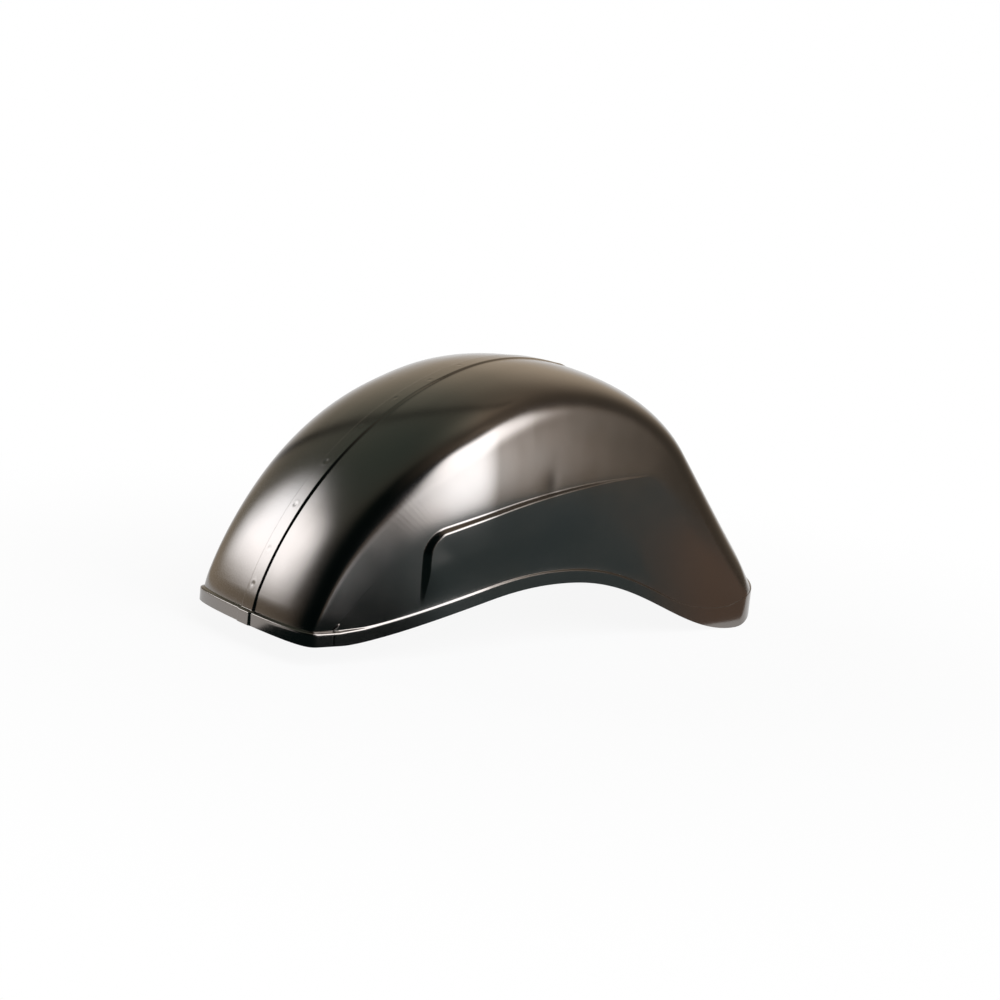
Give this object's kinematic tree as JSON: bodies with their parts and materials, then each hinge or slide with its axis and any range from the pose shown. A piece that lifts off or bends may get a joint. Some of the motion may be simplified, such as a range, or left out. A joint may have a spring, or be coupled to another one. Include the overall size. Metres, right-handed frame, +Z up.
{
  "type": "scooter front fender",
  "caption": "Deep pressed steel front fender of a small scooter: two halves lapped and spot-welded along the crown, stepped rim, side swage, bored fork seat.",
  "frame": {"origin": "middle of the fender's length and width, at the level of the lowest points of its rim, near the tail", "axes": "+X from the nose to the tail, +Z up as it stands on its rim, -Y the half seen in the picture"},
  "size_m": [0.5736, 0.2446, 0.2553],
  "materials": {
    "pressed_steel": "bare pressed sheet, dark and glossy",
    "plate_steel": "plain bare plate"
  },
  "bodies": {
    "root": {"left_half": "pressed_steel", "right_half": "pressed_steel", "fork_plate": "plate_steel"}
  },
  "joints": []
}
